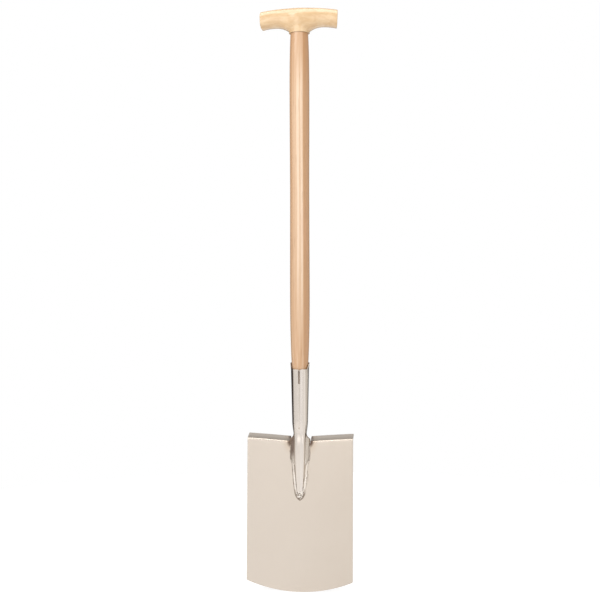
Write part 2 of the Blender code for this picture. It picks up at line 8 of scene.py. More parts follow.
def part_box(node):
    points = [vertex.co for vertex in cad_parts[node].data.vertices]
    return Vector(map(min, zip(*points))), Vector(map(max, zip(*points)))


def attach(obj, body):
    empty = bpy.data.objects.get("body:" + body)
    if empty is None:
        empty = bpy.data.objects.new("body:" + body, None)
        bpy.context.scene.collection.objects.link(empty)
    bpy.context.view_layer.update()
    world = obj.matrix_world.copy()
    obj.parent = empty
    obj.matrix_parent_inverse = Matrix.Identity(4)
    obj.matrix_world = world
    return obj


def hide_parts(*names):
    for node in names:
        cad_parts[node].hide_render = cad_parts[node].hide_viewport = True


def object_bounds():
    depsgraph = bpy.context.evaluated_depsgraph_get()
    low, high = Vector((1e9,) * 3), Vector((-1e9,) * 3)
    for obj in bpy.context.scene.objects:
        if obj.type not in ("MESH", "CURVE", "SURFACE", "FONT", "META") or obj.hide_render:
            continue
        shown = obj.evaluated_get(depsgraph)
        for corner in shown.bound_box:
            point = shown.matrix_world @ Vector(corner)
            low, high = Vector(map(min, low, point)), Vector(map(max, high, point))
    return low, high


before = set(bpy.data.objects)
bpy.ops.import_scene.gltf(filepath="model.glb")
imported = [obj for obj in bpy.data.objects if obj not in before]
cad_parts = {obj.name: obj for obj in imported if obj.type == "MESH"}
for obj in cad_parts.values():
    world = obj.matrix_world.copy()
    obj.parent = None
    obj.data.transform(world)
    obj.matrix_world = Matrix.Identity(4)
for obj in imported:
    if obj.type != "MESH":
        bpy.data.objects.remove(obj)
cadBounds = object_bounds()

socketLow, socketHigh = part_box("socket")
shaftLow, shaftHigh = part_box("shaft")
gripLow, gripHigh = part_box("grip")
screwLow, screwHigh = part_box("socket_screw")
axisY = (shaftLow.y + shaftHigh.y) / 2  # the shaft's axis is at x = 0 and this y
closeBy = 0.00001  # points nearer than this count as one
print("frame loaded, shaft axis at y", round(axisY, 5))


# Small tools for modelling

def deselectAll():
    if bpy.context.object and bpy.context.object.mode != "OBJECT":
        bpy.ops.object.mode_set(mode="OBJECT")
    bpy.ops.object.select_all(action="DESELECT")


def makeActive(piece):
    deselectAll()
    piece.select_set(True)
    bpy.context.view_layer.objects.active = piece


def startPiece(name, scale=(1, 1, 1)):
    # names the primitive just added, and moves its place into its mesh
    piece = bpy.context.object
    piece.name = name
    piece.data.name = name
    piece.scale = scale
    bpy.ops.object.transform_apply(location=True, rotation=True, scale=True)
    return piece


def addRod(name, columns, radius, length, location, along="Z", scale=(1, 1, 1)):
    turns = {"X": (0, math.pi / 2, 0), "Y": (math.pi / 2, 0, 0), "Z": (0, 0, 0)}
    bpy.ops.mesh.primitive_cylinder_add(vertices=columns, radius=radius, depth=length,
                                        location=location, rotation=turns[along])
    return startPiece(name, scale)


def pick(piece, kind, test):
    # leaves edit mode on, with only the parts that pass the test selected
    makeActive(piece)
    bpy.ops.object.mode_set(mode="EDIT")
    bpy.ops.mesh.select_mode(type=kind)
    bpy.ops.mesh.select_all(action="DESELECT")
    bpy.ops.object.mode_set(mode="OBJECT")
    mesh = piece.data
    if kind == "FACE":
        for face in mesh.polygons:
            face.select = test(face)
    elif kind == "EDGE":
        for edge in mesh.edges:
            ends = [mesh.vertices[i].co for i in edge.vertices]
            edge.select = test(*ends)
    else:
        for vertex in mesh.vertices:
            vertex.select = test(vertex.co)
    bpy.ops.object.mode_set(mode="EDIT")


def cutRows(piece, places, along):
    # one loop of edges at each place along an axis
    makeActive(piece)
    bpy.ops.object.mode_set(mode="EDIT")
    for place in places:
        bpy.ops.mesh.select_all(action="SELECT")
        bpy.ops.mesh.bisect(plane_co=Vector(along) * place, plane_no=along)
    bpy.ops.object.mode_set(mode="OBJECT")


def extrude(*offset):
    bpy.ops.mesh.extrude_region_move(TRANSFORM_OT_translate={"value": offset})


def reshape(piece, rule):
    bpy.ops.object.mode_set(mode="OBJECT")
    for vertex in piece.data.vertices:
        vertex.co = rule(vertex.co)
    piece.data.update()


def applyStep(piece, kind, **settings):
    makeActive(piece)
    step = piece.modifiers.new(kind.title(), kind)
    for name, value in settings.items():
        setattr(step, name, value)
    bpy.ops.object.modifier_apply(modifier=step.name)


def cutWith(piece, cutter, operation="DIFFERENCE"):
    applyStep(piece, "BOOLEAN", object=cutter, operation=operation, solver="EXACT")
    bpy.data.objects.remove(cutter)


def closeUp(piece, sharpAngle):
    # merges doubles, turns the faces outwards and smooths all but the sharp edges
    makeActive(piece)
    bpy.ops.object.mode_set(mode="EDIT")
    bpy.ops.mesh.select_all(action="SELECT")
    bpy.ops.mesh.remove_doubles(threshold=closeBy)
    bpy.ops.mesh.normals_make_consistent(inside=False)
    bpy.ops.object.mode_set(mode="OBJECT")
    bpy.ops.object.shade_smooth_by_angle(angle=math.radians(sharpAngle))


def standFor(piece, node, slotName, sharpAngle):
    # the finished piece takes the place of a node, and gets its slot and finish
    closeUp(piece, sharpAngle)
    piece.data.materials.clear()
    piece.data.materials.append(finishes[slotName])
    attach(piece, "root")
    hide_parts(node)


def facesUp(face):
    return face.normal.z > 0.9


def innerSteps(low, high, count):
    # the places between count equal parts
    return [low + (high - low) * i / count for i in range(1, count)]


def clamp(value):
    return min(1.0, max(0.0, value))


def ease(value):
    value = clamp(value)
    return value * value * (3 - 2 * value)


def hermite(share, start, end, startSlope, endSlope):
    square, cube = share**2, share**3
    return ((2 * cube - 3 * square + 1) * start + (cube - 2 * square + share) * startSlope
            + (3 * square - 2 * cube) * end + (cube - square) * endSlope)


# Shader maths: a Wire is one output socket, and sums with wires add the nodes for them

class Wire:
    def __init__(self, tree, socket=None):
        self.tree = tree
        self.socket = socket

    def node(self, kind, settings=None, sockets=None, out=0):
        made = self.tree.nodes.new("ShaderNode" + kind)
        for name, value in (settings or {}).items():
            setattr(made, name, value)
        for name, value in (sockets or {}).items():
            if isinstance(value, Wire):
                self.tree.links.new(value.socket, made.inputs[name])
            else:
                made.inputs[name].default_value = value
        return Wire(self.tree, made.outputs[out])

    def maths(self, operation, *values, clamped=False):
        settings = {"operation": operation, "use_clamp": clamped}
        return self.node("Math", settings, dict(enumerate(values)))

    def __add__(self, other):
        return self.maths("ADD", self, other)

    def __radd__(self, other):
        return self.maths("ADD", other, self)

    def __sub__(self, other):
        return self.maths("SUBTRACT", self, other)

    def __rsub__(self, other):
        return self.maths("SUBTRACT", other, self)

    def __mul__(self, other):
        return self.maths("MULTIPLY", self, other)

    def __rmul__(self, other):
        return self.maths("MULTIPLY", other, self)

    def __truediv__(self, other):
        return self.maths("DIVIDE", self, other)

    def __pow__(self, other):
        return self.maths("POWER", self, other)

    def __abs__(self):
        return self.maths("ABSOLUTE", self)

    def fraction(self):
        return self.maths("FRACT", self)

    def clamped(self):
        return self.maths("ADD", self, 0, clamped=True)

    def between(self, low, high):
        # 0 at low, 1 at high, eased
        sockets = {"Value": self, "From Min": low, "From Max": high}
        return self.node("MapRange", {"interpolation_type": "SMOOTHSTEP"}, sockets)

    def band(self, low, high, soft):
        # 1 from low to high, with soft ends
        return self.between(low - soft, low + soft) * (1 - self.between(high - soft, high + soft))

    def parts(self):
        # the x, y and z of a vector
        split = self.node("SeparateXYZ", None, {0: self}).socket.node
        return [Wire(self.tree, output) for output in split.outputs]

    def stretched(self, factors):
        return self.node("VectorMath", {"operation": "MULTIPLY"}, {0: self, 1: factors})

    def moved(self, offset):
        return self.node("VectorMath", {"operation": "ADD"}, {0: self, 1: offset})

    def noise(self, scale, detail=2.0, roughness=0.5, distortion=0.0):
        sockets = {"Vector": self, "Scale": scale, "Detail": detail,
                   "Roughness": roughness, "Distortion": distortion}
        return self.node("TexNoise", None, sockets)

    def mixed(self, first, second):
        # a colour between two, by this wire
        return self.node("Mix", {"data_type": "RGBA"}, {0: self, 6: first, 7: second}, out=2)


def newFinish(name):
    # a material, its Principled node and the place on the piece
    finish = bpy.data.materials.new(name)
    finish.use_nodes = True
    tree = finish.node_tree
    return finish, tree.nodes["Principled BSDF"], Wire(tree).node("TexCoord", out="Object")


def fill(shader, **sockets):
    # BaseColor and the like are the socket's name without its spaces
    named = {socket.name.replace(" ", ""): socket for socket in reversed(shader.inputs)}
    for name, value in sockets.items():
        if isinstance(value, Wire):
            value.tree.links.new(value.socket, named[name])
        else:
            named[name].default_value = value


def bumped(height, strength, distance):
    sockets = {"Height": height, "Strength": strength, "Distance": distance}
    return height.node("Bump", None, sockets)


# Blade: one sheet with a bowed cutting edge, a slight dish and two folded treads

bladeShape = {
    "width": 0.190,
    "foldHeight": 0.265,
    "lean": math.radians(3),
    "dish": 0.004,
    "thickness": 0.002,
    "edgeBow": 0.020,
    "edgeThickness": 0.0009,
    "grindHeight": 0.006,
    "treadDepth": 0.0219,
    "treadRise": math.radians(15.5),
    "treadSlope": math.radians(5),
    "foldRadius": 0.004,
    "notchWidth": 0.037,
    "edgeRound": 0.0003,
    "cornerRound": 0.0016,
    "waviness": 0.00006,
    "wavesPerMetre": 15,
    "sharpAngle": math.radians(50),  # edges sharper than this are rounded
    "columns": 60,
    "rows": 76,
    "treadRows": 6,
}


def bladeFace(x, z):
    b = bladeShape
    dish = b["dish"] * (2 * x / b["width"]) ** 2
    return axisY - math.tan(b["lean"]) * (b["foldHeight"] - z) - dish


def faceTop(x):
    # where the flat face ends and the fold of the tread begins
    b = bladeShape
    lean, rise = math.tan(b["lean"]), math.tan(b["treadRise"])
    dish = b["dish"] * (2 * x / b["width"]) ** 2
    climb = b["foldHeight"] * (1 - rise * lean) + math.tan(b["treadSlope"]) * abs(x) - rise * dish
    setback = b["foldRadius"] * math.tan((math.pi / 2 - b["treadRise"] - b["lean"]) / 2)
    return climb / (1 - rise * lean) - setback * math.cos(b["lean"])


def faceBottom(x):
    b = bladeShape
    radius = (b["width"] ** 2 / 4 + b["edgeBow"] ** 2) / (2 * b["edgeBow"])
    return radius - math.sqrt(radius**2 - x**2) + b["edgeThickness"] * math.sin(b["lean"])


def makeBlade():
    b = bladeShape
    plainTop = faceTop(0)
    bpy.ops.mesh.primitive_grid_add(x_subdivisions=b["columns"], y_subdivisions=b["rows"], size=1,
                                    location=(0, axisY, plainTop / 2),
                                    rotation=(math.pi / 2, 0, 0))
    blade = startPiece("bladeSheet", (b["width"], plainTop, 1))
    half = b["notchWidth"] / 2
    cutRows(blade, (-half, half), (1, 0, 0))
    cutRows(blade, (b["grindHeight"] / 3, b["grindHeight"]), (0, 0, 1))

    # fold the treads back from the top edge, on both sides of the notch
    def isFold(p, q):
        return min(p.z, q.z) > plainTop - closeBy and abs(p.x + q.x) / 2 > half

    pick(blade, "EDGE", isFold)
    turn = math.pi / 2 - b["treadRise"] - b["lean"]
    bpy.ops.mesh.spin(steps=8, angle=turn, center=(0, axisY + b["foldRadius"], plainTop),
                      axis=(1, 0, 0))
    flat = b["treadDepth"] - b["foldRadius"] * math.tan(turn / 2)
    rise = b["treadRise"] + b["lean"]
    step = Vector((0, math.cos(rise), math.sin(rise))) * flat / b["treadRows"]
    for _ in range(b["treadRows"]):
        bpy.ops.mesh.extrude_edges_move(TRANSFORM_OT_translate={"value": step})
    bpy.ops.object.mode_set(mode="OBJECT")
    backY = max(vertex.co.y for vertex in blade.data.vertices)

    def isCorner(p):
        atSide = abs(abs(p.x) - b["width"] / 2) < closeBy
        atNotch = abs(abs(p.x) - half) < closeBy
        return ((atSide or atNotch) and p.y > backY - closeBy) or (atSide and p.z < closeBy)

    pick(blade, "VERT", isCorner)
    bpy.ops.mesh.bevel(affect="VERTICES", offset=b["cornerRound"], segments=4)

    def dished(p):
        top, bottom = faceTop(p.x), faceBottom(p.x)
        if p.z <= plainTop:
            z = bottom + (top - bottom) * p.z / plainTop
        else:
            z = p.z + top - plainTop
        wave = b["waviness"] * noise.noise(Vector((p.x, 0, p.z)) * b["wavesPerMetre"])
        return Vector((p.x, p.y - axisY + bladeFace(p.x, z) + wave, z))

    reshape(blade, dished)
    ground = blade.vertex_groups.new(name="thickness")
    thin = b["edgeThickness"] / b["thickness"]
    for vertex in blade.data.vertices:
        rise = (vertex.co.z - faceBottom(vertex.co.x)) / b["grindHeight"]
        ground.add([vertex.index], thin + (1 - thin) * clamp(rise), "REPLACE")
    applyStep(blade, "SOLIDIFY", thickness=b["thickness"], offset=-1, vertex_group=ground.name)
    applyStep(blade, "BEVEL", width=b["edgeRound"], segments=2, limit_method="ANGLE",
              angle_limit=b["sharpAngle"])
    standFor(blade, "blade", "blade_steel", sharpAngle=35)


# Socket: a sheet rolled into a cone, whose lower end is pressed into a tongue on the blade

socketShape = {
    "wall": 0.0018,
    "tongueWidth": 0.0208,
    "tipWidth": 0.010,
    "tipHeight": 0.0036,
    "crownHeight": 0.013,
    "flangeWidth": 0.0314,
    "flangeLength": 0.026,
    "flangeFade": 0.018,
    "flangeRise": 0.0066,  # above the fold, where the flange is widest
    "flangeSpread": 0.0029,
    "spreadDrop": 0.005,  # below the fold, where the spread begins
    "spreadLength": 0.006,
    "flangeFlare": 0.0095,
    "flangeThickness": 0.0022,
    "crownRound": 0.68,  # 1 is an ellipse, less is squarer
    "crownFade": 1.5,  # 1 is an even slope down to the tip, more is bowed
    "crownShare": 0.80,  # of each quarter turn
    "footShare": 0.96,  # of each quarter turn, where the flange ends
    "neckRise": 0.040,
    "neckDiameter": 0.0284,
    "coneTopDiameter": 0.0326,
    "lipHeight": 0.012,
    "mouthDiameter": 0.0344,
    "mouthDip": 0.0117,
    "dipSlope": 0.1,
    "dipCurve": 1.5,
    "dipHalfAngle": math.radians(50),
    "riseAngle": math.radians(40),
    "rimRound": 0.0006,
    "slitLength": 0.026,
    "slitTopWidth": 0.0042,
    "slitEndWidth": 0.0034,
    "seamDepth": 0.0006,
    "seamWidth": 0.0042,
    "seamFade": 0.01,
    "drainDiameter": 0.003,
    "drainDrop": 0.0135,
    "screwHoleDiameter": 0.0044,
    "columns": 144,
    "rows": 74,
    "packing": 0.5,  # of the columns towards the seam
}
mouthZ = socketHigh.z
tongueEndZ = socketLow.z
neckZ = bladeShape["foldHeight"] + socketShape["neckRise"]
frontRimZ = mouthZ - socketShape["mouthDip"]
slitEndZ = frontRimZ - socketShape["slitLength"]
drainZ = neckZ - socketShape["drainDrop"]


def tongueShare(z):
    # 0 at the blade's fold, 1 at the end of the tongue
    foldZ = bladeShape["foldHeight"]
    return max(0.0, (foldZ - z) / (foldZ - tongueEndZ))


def crownHalf(z):
    # half the width of the tube, and of the crown below it
    s = socketShape
    foldZ, coneTopZ = bladeShape["foldHeight"], mouthZ - s["lipHeight"]
    if z >= coneTopZ:
        low, high = s["coneTopDiameter"], s["mouthDiameter"]
        share = (z - coneTopZ) / s["lipHeight"]
    elif z >= neckZ:
        low, high = s["neckDiameter"], s["coneTopDiameter"]
        share = (z - neckZ) / (coneTopZ - neckZ)
    elif z >= foldZ:
        low, high = s["tongueWidth"], s["neckDiameter"]
        share = ease((z - foldZ) / s["neckRise"])
    else:
        low, high = s["tongueWidth"], s["tipWidth"]
        share = tongueShare(z) ** 2
    return (low + (high - low) * share) / 2


def crownHeight(z):
    s = socketShape
    return s["crownHeight"] + (s["tipHeight"] - s["crownHeight"]) * tongueShare(z) ** s["crownFade"]


def flangeHalf(z):
    # half the width over the feet, which reach out beside the crown
    s = socketShape
    foldZ = bladeShape["foldHeight"]
    spread = s["flangeWidth"] / 2 - crownHalf(min(z, foldZ))
    spread += s["flangeSpread"] * ease((z - foldZ + s["spreadDrop"]) / s["spreadLength"])
    fade = ease((foldZ - s["flangeLength"] - z) / s["flangeFade"])
    flare = clamp((z - foldZ - s["flangeRise"]) / s["flangeFlare"])
    return crownHalf(z) + spread * (1 - fade) * (1 - flare) ** 2


def socketPoint(turn, z, inset):
    # a round tube above, which goes over into a crown with feet on the blade
    s = socketShape
    arc = abs(turn) * crownHalf(z)
    seam = s["seamDepth"] * (1 - ease(2 * arc / s["seamWidth"])) * ease((z - drainZ) / s["seamFade"])
    flat = 1 - ease((z - bladeShape["foldHeight"]) / s["neckRise"])
    width, foot = crownHalf(z) - inset, flangeHalf(z) - inset
    sine, cosine = math.sin(turn), math.cos(turn)
    roundX, roundY = (width - seam) * sine, axisY - (width - seam) * cosine
    quarter = abs(turn) / (math.pi / 2)
    if quarter < s["crownShare"]:
        bend = quarter / s["crownShare"] * math.pi / 2
        lyingX = width * math.sin(bend) ** s["crownRound"]
        rise = math.cos(bend) ** s["crownRound"]
    else:
        spread = ease((quarter - s["crownShare"]) / (s["footShare"] - s["crownShare"]))
        lyingX = width + (foot - width) * spread
        rise = 0
        if quarter > 1:
            lyingX *= abs(sine)
    under = s["flangeThickness"] * clamp((1 - quarter) / (1 - s["footShare"]))
    height = under + (crownHeight(z) - s["flangeThickness"] - 2 * inset) * rise
    x = (1 - flat) * roundX + flat * math.copysign(lyingX, sine)
    y = (1 - flat) * roundY + flat * (bladeFace(x, z) - height)
    away = max(0.0, abs(turn) - s["dipHalfAngle"])
    slope = s["dipSlope"]
    cut = s["mouthDip"] * (1 - slope * quarter - (1 - slope) * ease(away / s["riseAngle"]))
    dip = cut * max(0.0, (z - slitEndZ) / (mouthZ - slitEndZ)) ** s["dipCurve"]
    return Vector((x, y, z - max(0.0, dip)))


def makeSocket():
    s = socketShape
    plainRadius = s["mouthDiameter"] / 2
    socket = addRod("rolledSocket", s["columns"], plainRadius, mouthZ - tongueEndZ,
                    (0, axisY, (mouthZ + tongueEndZ) / 2))
    pick(socket, "FACE", facesUp)
    bpy.ops.mesh.inset(thickness=s["wall"])
    extrude(0, 0, shaftLow.z - mouthZ)

    def isRim(p, q):
        # around the mouth, and not across the wall
        across = math.hypot(p.x, p.y - axisY) - math.hypot(q.x, q.y - axisY)
        return min(p.z, q.z) > mouthZ - closeBy and abs(across) < closeBy

    pick(socket, "EDGE", isRim)
    bpy.ops.mesh.bevel(offset=s["rimRound"], segments=3)
    cutRows(socket, innerSteps(tongueEndZ, mouthZ, s["rows"]), (0, 0, 1))

    def rolled(p):
        across = Vector((p.x, p.y - axisY))
        if across.length < closeBy:
            return p
        turn = math.atan2(p.x, axisY - p.y)
        turn -= s["packing"] * math.sin(turn)
        return socketPoint(turn, p.z, plainRadius - across.length)

    reshape(socket, rolled)

    # open slit with a round end, wider at the top
    endRadius = s["slitEndWidth"] / 2
    roundZ = slitEndZ + endRadius
    frontY, backY = axisY - plainRadius, axisY + plainRadius
    slit = addRod("slitCutter", 32, endRadius, plainRadius * 2, (0, frontY, roundZ), "Y")
    pick(slit, "VERT", lambda p: p.z > roundZ - closeBy / 10)
    bpy.ops.transform.resize(value=(s["slitTopWidth"] / s["slitEndWidth"], 1, 0.01),
                             center_override=(0, axisY, mouthZ))
    cutWith(socket, slit)
    for y, z, diameter in ((frontY, drainZ, s["drainDiameter"]),
                           (backY, (screwLow.z + screwHigh.z) / 2, s["screwHoleDiameter"])):
        cutWith(socket, addRod("holeCutter", 32, diameter / 2, plainRadius * 1.1, (0, y, z), "Y"))
    standFor(socket, "socket", "socket_steel", sharpAngle=40)


# Welds: rippled beads, sunk a little into the sheets that they join

beadShape = {
    "wideWidth": 0.0056,
    "wideHeight": 0.0022,
    "thinWidth": 0.0030,
    "thinHeight": 0.0016,
    "sink": 0.0006,
    "ripplePitch": 0.0019,
    "rippleDepth": 0.13,
    "rippleBow": 0.0011,  # ripples curve like scales
    "lumps": 0.0003,
    "lumpsPerMetre": 420,
    "wander": 0.0003,
    "wandersPerMetre": 160,
    "overlap": 0.25,  # of the flange's edge, in half widths
    "endLength": 0.002,
    "endFullness": 0.02,  # keeps the last ring open
    "columns": 28,
    "rows": 150,
}


def beadSection(turn, middleX, z, halfWidth, height):
    # round on top, and under the sheet's face below
    b = beadShape
    x = middleX + halfWidth * math.cos(turn)
    bow = b["rippleBow"] * math.sin(turn)
    ripple = 1 - b["rippleDepth"] * abs(math.sin(math.pi * (z + bow) / b["ripplePitch"]))
    lump = b["lumps"] * noise.noise(Vector((x, 0, z)) * b["lumpsPerMetre"])
    out = height * ripple * math.sin(turn) + lump
    return Vector((x, bladeFace(x, z) - (out if math.sin(turn) > 0 else -b["sink"]), z))


def makeSideBead(name, side, node):
    b = beadShape
    low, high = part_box(node)
    plainRadius = 0.01
    bead = addRod(name, b["columns"], plainRadius, high.z - low.z, (0, 0, (high.z + low.z) / 2))
    cutRows(bead, innerSteps(low.z, high.z, b["rows"]), (0, 0, 1))
    swellZ = bladeShape["foldHeight"] - socketShape["flangeLength"]

    def laid(p):
        swell = ease((swellZ - p.z) / socketShape["flangeFade"])
        wander = b["wander"] * noise.noise(Vector((side, 0, p.z * b["wandersPerMetre"])))
        halfWidth = (b["thinWidth"] + (b["wideWidth"] - b["thinWidth"]) * swell) / 2
        height = b["thinHeight"] + (b["wideHeight"] - b["thinHeight"]) * swell
        endDistance = min(p.z - low.z, high.z - p.z)
        endRound = math.sqrt(min(1.0, b["endFullness"] + endDistance / b["endLength"]))
        middleX = side * (flangeHalf(p.z) + halfWidth * (1 - b["overlap"]) + wander)
        size = endRound * math.hypot(p.x, p.y) / plainRadius
        return beadSection(math.atan2(p.y, p.x), middleX, p.z, halfWidth * size, height * size)

    reshape(bead, laid)
    standFor(bead, node, "weld_steel", sharpAngle=60)


tipWeldShape = {
    "middleRise": 0.002,  # above the end of the tongue
    "upperReach": 0.003,
    "height": 0.0030,
    "fullness": 0.6,  # 1 is a ball's section, less is flatter on top
    "rings": 4.2,
    "ringDepth": 0.16,
    "lumps": 0.0005,
    "lumpsPerMetre": 500,
    # aside, below the end of the tongue, depth, and width squared
    "pits": ((0.0010, 0.0098, 0.0018, 0.0000012),
             (-0.0036, 0.0068, 0.0014, 0.0000010)),
}


def makeTipWeld():
    t = tipWeldShape
    low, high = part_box("weld_tip")
    middleZ = tongueEndZ + t["middleRise"]
    lowerReach = middleZ - low.z
    halfWidth = (high.x - low.x) / 2
    bpy.ops.mesh.primitive_uv_sphere_add(segments=64, ring_count=48, radius=1, location=(0, 0, 0))
    pool = startPiece("tipWeldPool")

    def poured(p):
        z = middleZ + p.z * (lowerReach if p.z < 0 else t["upperReach"])
        x = p.x * halfWidth
        rim = math.hypot(p.x, p.z)
        height = t["height"] * max(0.0, -p.y) ** t["fullness"]
        ring = 1 - t["ringDepth"] * abs(math.sin(math.pi * rim * t["rings"]))
        lump = t["lumps"] * noise.noise(Vector((x, 3, z)) * t["lumpsPerMetre"])
        for aside, drop, depth, spread in t["pits"]:
            away = (x - aside) ** 2 + (z - tongueEndZ + drop) ** 2
            lump -= depth * math.exp(-away / spread)
        out = height * ring + lump * ease(-p.y * 2)
        return Vector((x, bladeFace(x, z) - (out if p.y < 0 else -beadShape["sink"]), z))

    reshape(pool, poured)
    standFor(pool, "weld_tip", "weld_steel", sharpAngle=60)


notchWeldShape = {
    "radius": 0.0016,
    "rise": 0.0002,
    "rippleDepth": 0.16,
    "lumps": 0.00025,
    "lumpsPerMetre": 450,
    "columns": 28,
    "rows": 48,
}


def makeNotchWeld():
    n = notchWeldShape
    low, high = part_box("weld_notch")
    length, middleY = high.x - low.x, (low.y + high.y) / 2
    bead = addRod("notchWeldBead", n["columns"], n["radius"], length,
                  (0, middleY, low.z + n["rise"]), "X")
    cutRows(bead, innerSteps(low.x, high.x, n["rows"]), (1, 0, 0))

    def rippled(p):
        middle = Vector((p.x, middleY, low.z))
        ripple = 1 - n["rippleDepth"] * abs(math.sin(math.pi * p.x / beadShape["ripplePitch"]))
        taper = math.sqrt(max(beadShape["endFullness"], 1 - (2 * p.x / length) ** 4))
        lump = n["lumps"] * noise.noise(p * n["lumpsPerMetre"])
        spoke = p - middle
        return middle + spoke * ripple * taper + spoke.normalized() * lump

    reshape(bead, rippled)
    standFor(bead, "weld_notch", "weld_steel", sharpAngle=60)


tackShape = {
    "overlap": 0.0004,  # of the slit's edges
    "lumps": 0.12,
    "lumpScale": 2.6,
}


def makeTack():
    low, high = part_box("weld_seam_tack")
    middle, size = (low + high) / 2, high - low
    bpy.ops.mesh.primitive_uv_sphere_add(segments=40, ring_count=24, radius=1, location=(0, 0, 0))
    tack = startPiece("seamTack")
    halfWidth = socketShape["slitTopWidth"] / 2 + tackShape["overlap"]

    def dabbed(p):
        lump = 1 + tackShape["lumps"] * noise.noise(p * tackShape["lumpScale"])
        x, z = p.x * halfWidth * lump, p.z * size.z / 2 * lump
        return Vector((x, middle.y + p.y * size.y / 2, middle.z + z))

    reshape(tack, dabbed)
    standFor(tack, "weld_seam_tack", "weld_steel", sharpAngle=60)


# Shaft: turned, with a slight swell near each end

shaftShape = {
    "topDiameter": 0.0318,
    "upperSwell": 0.0355,
    "upperSwellDrop": 0.118,
    "waist": 0.0345,
    "lowerSwell": 0.0352,
    "lowerSwellRise": 0.122,
    "endTaper": 0.095,
    "tenonDiameter": 0.020,
    "tenonRound": 0.0015,
    "fitGap": 0.0003,
    "unevenness": 0.00008,
    "unevenScale": (40, 9),  # per metre across and along
    "columns": 96,
    "rows": 90,
}


def shaftRadius(z):
    # in the socket, then a swell, the waist, the upper swell and the end under the grip
    s = shaftShape
    upperZ = gripLow.z - s["upperSwellDrop"]
    lowerZ = mouthZ + s["lowerSwellRise"]
    waistZ = (upperZ + lowerZ) / 2
    inSocket = crownHalf(min(z, mouthZ)) - socketShape["wall"] - s["fitGap"]
    if z <= mouthZ:
        return inSocket
    if z >= upperZ:
        share = (z - upperZ) / s["upperSwellDrop"]
        slope = -s["endTaper"] * s["upperSwellDrop"]
        return hermite(share, s["upperSwell"], s["topDiameter"], 0, slope) / 2
    if z < lowerZ:
        share = (lowerZ - z) / s["lowerSwellRise"]
        slope = -s["endTaper"] * s["lowerSwellRise"]
        return hermite(share, s["lowerSwell"], 2 * inSocket, 0, slope) / 2
    if z >= waistZ:
        swell, share = s["upperSwell"], (z - waistZ) / (upperZ - waistZ)
    else:
        swell, share = s["lowerSwell"], (waistZ - z) / (waistZ - lowerZ)
    return (s["waist"] + (swell - s["waist"]) * ease(share)) / 2


def makeShaft():
    s = shaftShape
    shoulderZ = gripLow.z - s["fitGap"]
    plainRadius = s["topDiameter"] / 2
    shaft = addRod("turnedShaft", s["columns"], plainRadius, shoulderZ - shaftLow.z,
                   (0, axisY, (shoulderZ + shaftLow.z) / 2))
    cutRows(shaft, innerSteps(shaftLow.z, shoulderZ, s["rows"]), (0, 0, 1))
    acrossScale, alongScale = s["unevenScale"]

    def turned(p):
        spoke = Vector((p.x, p.y - axisY, 0))
        if spoke.length < closeBy:
            return p
        grain = Vector((p.x * acrossScale, p.y * acrossScale, p.z * alongScale))
        uneven = s["unevenness"] * noise.noise(grain)
        spoke = spoke.normalized() * (shaftRadius(p.z) + uneven)
        return Vector((spoke.x, axisY + spoke.y, p.z))

    reshape(shaft, turned)
    pick(shaft, "FACE", facesUp)
    bpy.ops.mesh.inset(thickness=shaftRadius(shoulderZ) - s["tenonDiameter"] / 2)
    extrude(0, 0, shaftHigh.z - shoulderZ)

    def isEnd(p, q):
        return min(p.z, q.z) > shaftHigh.z - closeBy or max(p.z, q.z) < shaftLow.z + closeBy

    pick(shaft, "EDGE", isEnd)
    bpy.ops.mesh.bevel(offset=s["tenonRound"], segments=3)
    standFor(shaft, "shaft", "ash_wood", sharpAngle=40)


# Grip: one block of wood, arched on top, hollowed under each arm and round at its neck

gripShape = {
    "arch": 0.0056,
    "armDepth": 0.030,
    "centreDepth": 0.036,
    "bulgeLength": 0.030,
    "endTaper": math.radians(2),
    "endUndercut": math.radians(7.5),  # the ends are cut back behind
    "fingerReach": 0.042,
    "fingerRise": 0.0033,
    "fingerFillet": 0.040,
    "neckWidth": 0.0375,
    "neckDepth": 0.033,
    "neckDrop": 0.0107,
    "neckSpare": 0.006,  # length of the neck that is sawn off
    "mortiseSpare": 0.004,  # of its cutter, below the neck
    "squareness": 2.5,  # 2 is an ellipse
    "meshSize": 0.0009,  # of the mesh that the blend is worked out on
    "columns": 96,
    "rows": 60,
}


def fingerUnder(x):
    # underside of the arms: a shallow arc outside, a fillet down to the neck inside
    g = gripShape
    topZ = gripLow.z + g["neckDrop"]
    away = abs(x) - g["fingerReach"]
    if away > 0:
        reach = gripHigh.x - g["fingerReach"]
        radius = (reach**2 + g["fingerRise"] ** 2) / (2 * g["fingerRise"])
        return topZ - radius + math.sqrt(max(0.0, radius**2 - away**2))
    inward = min(-away, g["fingerReach"] - g["neckWidth"] / 2)
    return topZ - g["fingerFillet"] + math.sqrt(g["fingerFillet"] ** 2 - inward**2)


